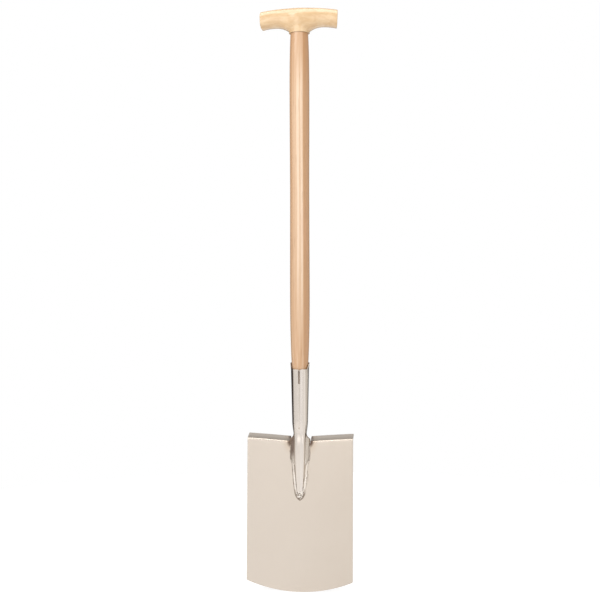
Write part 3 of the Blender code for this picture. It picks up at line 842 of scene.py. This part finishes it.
def makeGrip():
    g = gripShape
    halfLength = gripHigh.x
    grip = addRod("carvedGrip", g["columns"], 1, 2 * halfLength, (0, 0, 0), "X")
    cutRows(grip, innerSteps(-halfLength, halfLength, g["rows"]), (1, 0, 0))

    def carved(p):
        share = p.x / halfLength
        top = gripHigh.z - g["arch"] * share**2
        under = fingerUnder(p.x)
        bulge = math.exp(-((2 * p.x / g["bulgeLength"]) ** 2))
        halfDepth = (g["armDepth"] + (g["centreDepth"] - g["armDepth"]) * bulge) / 2
        halfHeight = (top - under) / 2
        power = 2 / g["squareness"]
        y = halfDepth * math.copysign(abs(p.y) ** power, p.y)
        up = halfHeight * math.copysign(abs(p.z) ** power, p.z)
        lean = (halfHeight - up) * math.tan(g["endTaper"]) * share**3
        lean += (halfDepth + y) * math.tan(g["endUndercut"]) * share**3
        return Vector((p.x - lean, axisY + y, (top + under) / 2 + up))

    reshape(grip, carved)
    neckTop, neckLow = gripLow.z + 2 * g["neckDrop"], gripLow.z - g["neckSpare"]
    neck = addRod("gripNeck", g["columns"], 0.5, neckTop - neckLow,
                  (0, axisY, (neckTop + neckLow) / 2), scale=(g["neckWidth"], g["neckDepth"], 1))
    cutWith(grip, neck, "UNION")
    applyStep(grip, "REMESH", mode="VOXEL", voxel_size=g["meshSize"])
    applyStep(grip, "SMOOTH", factor=0.5, iterations=9)

    # saw the neck's end flat
    sawSize = 0.1
    bpy.ops.mesh.primitive_cube_add(size=sawSize, location=(0, axisY, gripLow.z - sawSize / 2))
    cutWith(grip, startPiece("neckSaw"))

    # blind mortise for the tenon
    gap, spare = shaftShape["fitGap"], g["mortiseSpare"]
    mortiseTop = shaftHigh.z + gap
    cutWith(grip, addRod("mortiseCutter", 64, shaftShape["tenonDiameter"] / 2 + gap,
                         mortiseTop - gripLow.z + spare,
                         (0, axisY, (mortiseTop + gripLow.z - spare) / 2)))
    standFor(grip, "grip", "grip_wood", sharpAngle=50)


# Screw at the back of the socket: domed head with a cross recess

screwShape = {
    "headRadius": 0.004,
    "headHeight": 0.002,
    "headRound": 0.9,  # of the head's height
    "shankRadius": 0.002,
    "pointLength": 0.003,
    "pointWidth": 0.2,  # of the shank's
    "recessWidth": 0.0009,
    "recessLength": 0.0042,
    "recessDepth": 0.0011,
}


def makeScrew():
    s = screwShape
    z = (screwLow.z + screwHigh.z) / 2
    seatY = screwHigh.y - s["headHeight"]
    screw = addRod("panHeadScrew", 48, s["headRadius"], s["headHeight"],
                   (0, seatY + s["headHeight"] / 2, z), "Y")
    pick(screw, "EDGE", lambda p, q: min(p.y, q.y) > screwHigh.y - closeBy)
    bpy.ops.mesh.bevel(offset=s["headHeight"] * s["headRound"], segments=6)
    pick(screw, "FACE", lambda face: face.normal.y < -0.9)
    bpy.ops.mesh.inset(thickness=s["headRadius"] - s["shankRadius"])
    for length in (seatY - screwLow.y - s["pointLength"], s["pointLength"]):
        extrude(0, -length, 0)
    bpy.ops.transform.resize(value=(s["pointWidth"], 1, s["pointWidth"]),
                             center_override=(0, screwLow.y, z))
    bpy.ops.object.mode_set(mode="OBJECT")
    long, short, deep = s["recessLength"], s["recessWidth"], 2 * s["recessDepth"]
    for scale in ((long, deep, short), (short, deep, long)):
        bpy.ops.mesh.primitive_cube_add(size=1, location=(0, screwHigh.y, z))
        cutWith(screw, startPiece("recessCutter", scale))
    standFor(screw, "socket_screw", "fixing_steel", sharpAngle=30)


# Finishes

steelLook = {
    "bladeWarm": (0.575, 0.508, 0.441, 1),
    "bladeCool": (0.540, 0.473, 0.406, 1),
    "tubePale": (0.645, 0.588, 0.54, 1),
    "tubeDeep": (0.615, 0.553, 0.49, 1),
    "tintStraw": (0.50, 0.39, 0.29, 1),
    "tintBrown": (0.10, 0.062, 0.045, 1),
    "dull": (0.40, 0.35, 0.295, 1),
    "beadPale": (0.70, 0.635, 0.565, 1),
    "beadDark": (0.15, 0.11, 0.08, 1),
    "glint": (0.93, 0.89, 0.83, 1),
    "zincPale": (0.72, 0.72, 0.72, 1),
    "zincDull": (0.42, 0.40, 0.37, 1),
    # painted shade lines along the toes of the weld beads
    "toeWidth": 0.0006,  # of the dark lines along the weld beads
    "toeGap": 0.0004,  # between the outer line and the shade under the tip
    "beadReach": 0.0050,
    "tipTopZ": 0.1846,
    "tipEndZ": 0.1615,
    "tintAside": 0.0185,  # the middle of the heat tint and painted shade beside the socket
    "tintZ": 0.2665,
    "sootAside": (0.0150, 0.0195),
    "sootZ": (0.228, 0.262),
    "spatterAside": (0.0045, 0.0075),  # from the tongue's right edge
    "spatterZ": (0.190, 0.236),
    "polishLeft": (-0.0062, -0.0018),
    "polishRight": (0.0012, 0.0062),
    "seamAside": (-0.0010, 0.0010),
    "footHalf": 0.0112,
    "footSpread": 0.0060,
}


def crownEdge(z):
    # half the width of the tongue's crown, as a wire
    s, foldZ = socketShape, bladeShape["foldHeight"]
    share = ((foldZ - z) / (foldZ - tongueEndZ)).clamped()
    return share * share * ((s["tipWidth"] - s["tongueWidth"]) / 2) + s["tongueWidth"] / 2


def toeShadeLines(x, z, place):
    # painted shade lines along the toes of the beads, whole on the left and broken on the right
    look = steelLook
    topZ, endZ, width = look["tipTopZ"], look["tipEndZ"], look["toeWidth"]
    inner = crownEdge(z)
    tip = ((topZ - z) / (topZ - endZ)).clamped()
    outer = (inner + look["beadReach"]) * (1 - tip**2.4) ** 0.72
    broken = place.stretched((1, 0.2, 0.7)).noise(330, 2, 0.5).between(0.46, 0.58)
    left = 1 - x.between(-0.001, 0.001)
    kept = broken * (1 - left) * 0.8 + left * (0.55 + broken * 0.45)
    outerLine = 1 - abs(abs(x) - outer).between(width * 0.6, width * 2)
    outerLine = outerLine * (1 - z.between(0.222, 0.234))
    innerLine = 1 - abs(abs(x) - inner).between(width * 0.5, width * 1.8)
    innerTop = left * (1 - z.between(0.226, 0.240)) + (1 - left) * (1 - z.between(0.198, 0.204))
    innerLine = innerLine * z.between(0.174, 0.186) * innerTop
    under = 1 - abs(abs(x) - outer + look["toeGap"]).between(width, width * 3.4)
    under = under * (1 - z.between(0.170, 0.181)) * (1 - left * 0.15)
    above = z.between(endZ - 0.0012, endZ - 0.0002)
    return ((outerLine * kept + under) * above + innerLine * kept).clamped()


def bladeFinish():
    finish, shader, place = newFinish("satinStainless")
    x, y, z = place.parts()
    look, sheet = steelLook, bladeShape
    # rolled grain runs up the sheet, and handling leaves soft clouds and fine scratches
    grain = place.stretched((900, 900, 14)).noise(1.0, 3, 0.6)
    clouds = place.noise(16, 3, 0.5)
    stains = place.stretched((1, 1, 0.45)).noise(60, 5, 0.6)
    scratches = place.stretched((160, 160, 9)).moved((3, 1, 2)).noise(1.0, 8, 0.75, 1.2)
    fine = (1 - abs(scratches - 0.5) * 60).clamped()
    # painted shade: the face darkens towards the right, mixed with the clouds and stains
    shade = (x.between(-0.06, 0.13) + (clouds - 0.5) * 0.55 + (stains - 0.5) * 0.25).clamped()
    colour = shade.mixed(look["bladeWarm"], look["bladeCool"])
    # straw heat tint in the corners beside the socket, with a brown core of heat tint and painted
    # shade
    cornerX, cornerZ = abs(x) - look["tintAside"], (z - look["tintZ"]) * 0.6
    away = (cornerX * cornerX + cornerZ * cornerZ) ** 0.5 + (stains - 0.5) * 0.006
    colour = ((1 - away.between(0.004, 0.016)) * 0.5).mixed(colour, look["tintStraw"])
    colour = ((1 - away.between(0.0022, 0.0072)) * 0.95).mixed(colour, look["tintBrown"])
    # the front face is where the depth behind it is small; the treads get painted shade close to it
    behind = y + x * x * (4 * sheet["dish"] / sheet["width"] ** 2)
    depth = behind - axisY + (sheet["foldHeight"] - z) * math.tan(sheet["lean"])
    front = 1 - depth.between(0.0006, 0.0012)
    nearFold = behind.between(-0.001, 0.001) * (1 - behind.between(0.006, 0.011))
    colour = (nearFold * 0.6).mixed(colour, look["dull"])
    # soot and painted shade beside the feet of the socket, and painted shade lines at the toes of
    # the beads
    beside = abs(x).band(*look["sootAside"], 0.0012) * z.between(*look["sootZ"])
    spots = place.stretched((1, 0.2, 0.6)).noise(300, 2, 0.5).between(0.50, 0.62)
    colour = (beside * spots * front * 0.7).mixed(colour, look["beadDark"])
    aside = x - crownEdge(z)
    spatter = aside.band(*look["spatterAside"], 0.001) * z.band(*look["spatterZ"], 0.006)
    colour = (spatter * spots * front * 0.35).mixed(colour, look["beadDark"])
    colour = (toeShadeLines(x, z, place) * front * 0.75).mixed(colour, look["beadDark"])
    fill(shader, BaseColor=colour, Metallic=1.0,
         Roughness=0.33 + clouds * 0.04 + stains * 0.05 - fine * 0.04 + grain * 0.04,
         Normal=bumped(grain * 0.5 + stains * 0.3 - fine * 0.5, 0.16, 0.0001))
    return finish


def socketFinish():
    finish, shader, place = newFinish("polishedTube")
    x, y, z = place.parts()
    look, shape = steelLook, socketShape
    draw = place.stretched((700, 700, 7)).noise(1.0, 4, 0.6)
    bands = place.stretched((150, 150, 1.2)).noise(1.0, 2, 0.5)
    smudge = place.noise(90, 4, 0.6)
    onFront = 1 - y.between(axisY - 0.006, axisY - 0.002)
    # painted reflections: two brighter bands beside the seam
    paintedReflection = x.band(*look["polishLeft"], 0.001) * 0.6 + x.band(*look["polishRight"], 0.001)
    paintedReflection = paintedReflection * onFront
    shade = (bands.between(0.3, 0.7) * 0.35 + paintedReflection * 0.65).clamped()
    colour = shade.mixed(look["tubeDeep"], look["tubePale"])
    # painted shade in the groove of the seam, on the front
    seam = x.band(*look["seamAside"], 0.0006) * onFront * z.between(drainZ + 0.006, drainZ + 0.05)
    colour = (seam * 0.40).mixed(colour, look["dull"])
    # heat tint and painted shade on the feet of the crown, with deeper painted shade on the left
    # foot
    foot = abs(x).between(0.0102, 0.0116) * z.between(0.222, 0.232)
    left = (1 - x.between(-0.001, 0.001)) * z.between(0.232, 0.250)
    colour = (foot * 0.85).mixed(colour, look["dull"])
    colour = (foot * left * (0.6 + smudge * 0.5).clamped()).mixed(colour, look["tintBrown"])
    # painted shade along the outer edges of the feet
    flareZ = bladeShape["foldHeight"] + shape["flangeRise"]
    flare = ((z - flareZ) / shape["flangeFlare"]).clamped()
    footEdge = (1 - flare) ** 2 * look["footSpread"] + look["footHalf"]
    edge = (abs(x) - footEdge).between(-0.0020, -0.0008)
    edge = edge * z.between(0.225, 0.245) * (1 - z.between(0.279, 0.284))
    colour = (edge * 0.85).mixed(colour, look["beadDark"])
    colour = (toeShadeLines(x, z, place) * 0.75).mixed(colour, look["beadDark"])
    fill(shader, BaseColor=colour, Metallic=1.0,
         Roughness=0.17 + bands * 0.08 + smudge * 0.08,
         Normal=bumped(draw * 0.5 + bands, 0.18, 0.00012))
    return finish


def weldFinish():
    finish, shader, place = newFinish("weldBead")
    x, _, z = place.parts()
    look = steelLook
    lumps = place.noise(420, 5, 0.65)
    soot = place.moved((4, 0, 1)).noise(330, 4, 0.6)
    # heat tint and painted shade on the beads near the fold, deeper on the left
    above = z.between(0.222, 0.238) * (1 - x.between(-0.001, 0.001) * 0.35)
    pool = (1 - z.between(0.176, 0.182)) * soot.between(0.47, 0.51)
    pool = (pool + 1 - z.between(0.1640, 0.1665)).clamped()
    colour = (soot.between(0.52, 0.66) * (0.35 + above * 0.5) + pool * 0.8).clamped()
    colour = colour.mixed(look["beadPale"], look["beadDark"])
    colour = (above * 0.75).mixed(colour, look["beadDark"])
    glint = place.noise(520, 2, 0.5).between(0.56, 0.60) * (1 - z.between(0.204, 0.212))
    colour = (glint * 0.7).mixed(colour, look["glint"])
    colour = (toeShadeLines(x, z, place) * 0.85).mixed(colour, look["beadDark"])
    fill(shader, BaseColor=colour, Metallic=0.95, Roughness=0.20 + lumps * 0.24,
         Normal=bumped(lumps + soot, 0.5, 0.0003))
    return finish


def fixingFinish():
    finish, shader, place = newFinish("zincFixing")
    turning = place.noise(900, 4, 0.6)
    grime = place.noise(500, 3, 0.5)
    colour = grime.between(0.4, 0.7).mixed(steelLook["zincPale"], steelLook["zincDull"])
    fill(shader, BaseColor=colour, Metallic=1.0, Roughness=0.28 + grime * 0.3,
         Normal=bumped(turning, 0.3, 0.0001))
    return finish


woodLook = {
    "shaftPale": (0.685, 0.515, 0.367, 1),
    "shaftMid": (0.485, 0.278, 0.142, 1),
    "shaftDeep": (0.412, 0.216, 0.093, 1),
    "shaftDark": (0.32, 0.17, 0.08, 1),
    "patch": (0.55, 0.30, 0.18, 1),
    "hidden": (0.27, 0.21, 0.165, 1),
    # the painted bands turn about the shaft's axis to face the camera
    "layerTurn": math.radians(6.7),  # about the shaft's axis
    "layerWander": 0.0022,
    "paleLeft": (-0.0056, -0.0012),
    "paleRight": (0.0014, 0.0056),
    "ringsPerMetre": 420,
    "ringTilt": 0.22,
    "ringDepth": 0.05,  # of the rings' centre, in front of the grip
    "gripPale": (0.61, 0.43, 0.238, 1),
    "gripMid": (0.535, 0.342, 0.164, 1),
    "gripDark": (0.43, 0.27, 0.125, 1),
}


def shaftFinish():
    finish, shader, place = newFinish("lacqueredAsh")
    x, y, z = place.parts()
    look = woodLook
    # painted highlight and shade bands cross the shaft as the camera sees it, almost as planes, and
    # wander a little along its length
    wander = place.stretched((6, 6, 2.2)).noise(1.0, 3, 0.5)
    across = x * math.cos(look["layerTurn"]) + (y - axisY) * math.sin(look["layerTurn"])
    acrossView = across + (wander - 0.5) * look["layerWander"]
    fibre = place.stretched((850, 850, 16)).noise(1.0, 4, 0.6)
    pores = place.stretched((1500, 1500, 60)).noise(1.0, 2, 0.5)
    streaks = place.stretched((260, 260, 3.2)).noise(1.0, 4, 0.55)
    patches = place.stretched((60, 60, 5)).noise(1.0, 3, 0.5)
    # painted highlights: two pale bands down the front with a weaker one between, fading towards
    # both ends
    leftBand, rightBand = look["paleLeft"], look["paleRight"]
    paintedSheen = acrossView.band(*leftBand, 0.0008) + acrossView.band(*rightBand, 0.0008) * 0.9
    paintedSheen = paintedSheen + acrossView.band(leftBand[1], rightBand[0], 0.0006) * 0.30
    paintedSheen = paintedSheen * z.between(0.40, 0.66) * (1 - z.between(0.88, 0.99) * 0.7)
    # painted shade on the right side and along the left edge; pores show darker in it
    shadedSide = acrossView.between(0.0056, 0.0076)
    edge = 1 - acrossView.between(-0.0165, -0.0105)
    shade = (0.25 + paintedSheen * 0.75 + (streaks - 0.5) * 1.3 - shadedSide * 0.1).clamped()
    colour = shade.mixed(look["shaftMid"], look["shaftPale"])
    nearGrip = z.between(0.88, 1.0)
    colour = (shadedSide * 0.8 + edge * 0.4 + nearGrip * 0.35).clamped().mixed(colour, look["shaftDeep"])
    colour = (patches.between(0.52, 0.74) * 0.30).mixed(colour, look["patch"])
    dark = pores.between(0.58, 0.70) * (0.35 + shadedSide * 0.65)
    colour = (dark * 0.45).mixed(colour, look["shaftDark"])
    dashes = place.moved((7, 3, 1)).stretched((420, 420, 20)).noise(1.0, 3, 0.5)
    colour = (dashes.between(0.62, 0.72) * 0.45).mixed(colour, look["shaftDark"])
    # painted shade on the wood that the socket hides, end grain included
    colour = (1 - z.between(frontRimZ - 0.003, frontRimZ + 0.0005)).mixed(colour, look["hidden"])
    fill(shader, BaseColor=colour, Roughness=0.38 + fibre * 0.14,
         Normal=bumped(fibre * 0.5 - dark, 0.25, 0.0002),
         CoatWeight=0.5, CoatRoughness=0.14, CoatIOR=1.5, SpecularIORLevel=0.4)
    return finish


def gripFinish():
    finish, shader, place = newFinish("lacqueredBeech")
    x, y, z = place.parts()
    look = woodLook
    wander = place.stretched((9, 20, 20)).noise(1.0, 3, 0.5)
    lift = z - x * look["ringTilt"] + (wander - 0.5) * 0.016
    depth = y + look["ringDepth"]
    rings = (lift * lift + depth * depth) ** 0.5 * look["ringsPerMetre"]
    phase = rings.fraction()
    late = phase.between(0.45, 0.9) * (1 - phase.between(0.9, 1.0))
    fibre = place.stretched((22, 900, 900)).noise(1.0, 4, 0.6)
    flecks = place.stretched((190, 700, 700)).noise(1.0, 3, 0.55)
    mottle = place.stretched((60, 110, 110)).noise(1.0, 3, 0.6, 0.8)
    colour = mottle.between(0.30, 0.70).mixed(look["gripMid"], look["gripPale"])
    colour = (late * 0.22).mixed(colour, look["gripDark"])
    colour = (flecks.between(0.60, 0.74) * 0.35).mixed(colour, look["gripDark"])
    fill(shader, BaseColor=colour, Roughness=0.38 + fibre * 0.14,
         Normal=bumped(fibre * 0.6 - flecks * 0.5, 0.22, 0.0002),
         CoatWeight=1.0, CoatRoughness=0.16, CoatIOR=1.55, SpecularIORLevel=0.5)
    return finish


finishes = {
    "blade_steel": bladeFinish(),
    "socket_steel": socketFinish(),
    "weld_steel": weldFinish(),
    "fixing_steel": fixingFinish(),
    "ash_wood": shaftFinish(),
    "grip_wood": gripFinish(),
}
print("finishes made")

deselectAll()
makeBlade()
print("blade made")
makeSocket()
print("socket made")
makeSideBead("leftWeldBead", -1, "weld_left")
makeSideBead("rightWeldBead", 1, "weld_right")
makeTipWeld()
makeNotchWeld()
makeTack()
print("welds made")
makeShaft()
print("shaft made")
makeGrip()
print("grip made")
makeScrew()
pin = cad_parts["grip_pin"]
pin.data.materials.clear()
pin.data.materials.append(finishes["fixing_steel"])
print("screw and pin made")


# Floor, light and camera

panels = {
    "leftStrip": {"azimuth": -12, "height": 1.1, "distance": 2.6, "size": (0.8, 1.6), "glow": 1.6},
    "rightStrip": {"azimuth": 28, "height": 1.1, "distance": 2.6, "size": (0.8, 1.6), "glow": 1.6},
    "keyPanel": {"azimuth": -42, "height": 2.1, "distance": 2.0, "size": (1.2, 1.2), "glow": 5.0},
    "topPanel": {"azimuth": 8, "height": 2.6, "distance": 0.6, "size": (1.6, 1.6), "glow": 3.4},
}
studio = {
    "floorSize": 2.6,
    "floorColour": (0.45, 0.45, 0.45, 1),
    "floorGlow": 0.72,
    "floorGap": 0.0003,
    "aimHeight": 0.55,
    # how bright the room is each way, where white paper in the light is 1
    "roomFront": 1.08,
    "roomHigh": 0.45,
    "roomAside": 0.20,  # more light from the far right
    "roomLeft": 0.20,
    "roomRight": 0.34,
    "roomBackHigh": 0.95,
    "roomZenith": 0.35,
    "roomLow": 1.1,
    "roomTurn": 0.30,  # moves the dim half towards the left
    # parts of the direction between which the room changes
    "highBand": (0.15, 0.50),
    "asideBand": (0.70, 0.97),
    "sideBand": (-0.25, 0.25),
    "backBand": (0.24, 0.46),
    "zenithBand": (0.70, 0.88),
    "lowBand": (-0.4, -0.2),
    "cameraAzimuth": math.radians(6.7),
    "cameraDistance": 1.9,
    "cameraHeight": 0.5201,
    "lens": 63.54,
    "sensorWidth": 36,
    "viewLength": 50,
    "aimAside": 0.0002,
    "cameraRoll": math.radians(-0.115),
}


def makeFloor():
    s = studio
    bpy.ops.mesh.primitive_circle_add(vertices=96, radius=s["floorSize"] / 2, fill_type="NGON",
                                      location=(0, 0, cadBounds[0].z - s["floorGap"]))
    floor = startPiece("paleFloor")
    finish, shader, _ = newFinish("paleFloor")
    fill(shader, BaseColor=s["floorColour"], Roughness=0.9,
         EmissionColor=(1, 1, 1, 1), EmissionStrength=s["floorGlow"])
    floor.data.materials.append(finish)


def addPanel(name, azimuth, height, distance, size, glow):
    # a soft panel that faces the spade; azimuth 0 is in front, and positive is to the right
    turn = math.radians(azimuth)
    place = Vector((math.sin(turn) * distance, -math.cos(turn) * distance, height))
    bpy.ops.object.light_add(type="AREA", location=place)
    lamp = bpy.context.object
    lamp.name = name
    lamp.data.shape = "RECTANGLE"
    lamp.data.size, lamp.data.size_y = size
    lamp.data.energy = glow * math.pi * size[0] * size[1]
    lamp.visible_camera = False
    aim = Vector((0, 0, studio["aimHeight"])) - place
    lamp.rotation_euler = aim.to_track_quat("-Z", "Y").to_euler()


def makeWorld():
    # bright in front and below, dim behind at eye level, and plain white for the camera
    s = studio
    world = bpy.data.worlds.new("whiteRoom")
    bpy.context.scene.world = world
    world.use_nodes = True
    tree = world.node_tree
    room = Wire(tree)
    x, y, z = room.node("TexCoord", out="Generated").parts()
    high = z.between(*s["highBand"])
    front = high * (s["roomHigh"] - s["roomFront"]) + s["roomFront"]
    front = front * (x.between(*s["asideBand"]) * s["roomAside"] + 1)
    side = x.between(*s["sideBand"]) * (s["roomRight"] - s["roomLeft"]) + s["roomLeft"]
    back = side + high * (s["roomBackHigh"] - side)
    behind = (y - x * s["roomTurn"]).between(*s["backBand"])
    level = back + (1 - behind) * (front - back)
    level = level + z.between(*s["zenithBand"]) * (s["roomZenith"] - level)
    level = level + (1 - z.between(*s["lowBand"])) * (s["roomLow"] - level)
    seen = room.node("LightPath", out="Is Camera Ray")
    strength = seen + (1 - seen) * level
    shell = tree.nodes["Background"]
    shell.inputs["Color"].default_value = (1, 1, 1, 1)
    tree.links.new(strength.socket, shell.inputs["Strength"])


def makeCamera():
    s = studio
    back = Vector((math.sin(s["cameraAzimuth"]), -math.cos(s["cameraAzimuth"]), 0))
    target = Vector((s["aimAside"], axisY, s["cameraHeight"]))
    bpy.ops.object.camera_add(location=target + back * s["cameraDistance"])
    camera = bpy.context.object
    camera.rotation_euler = (-back).to_track_quat("-Z", "Y").to_euler()
    camera.rotation_euler.rotate_axis("Z", s["cameraRoll"])
    camera.data.lens = s["lens"]
    camera.data.sensor_width = s["sensorWidth"]
    camera.data.clip_end = s["viewLength"]
    bpy.context.scene.camera = camera


makeFloor()
makeWorld()
for name, values in panels.items():
    addPanel(name, **values)
makeCamera()
bpy.context.scene.view_settings.view_transform = "Standard"
print("studio made")
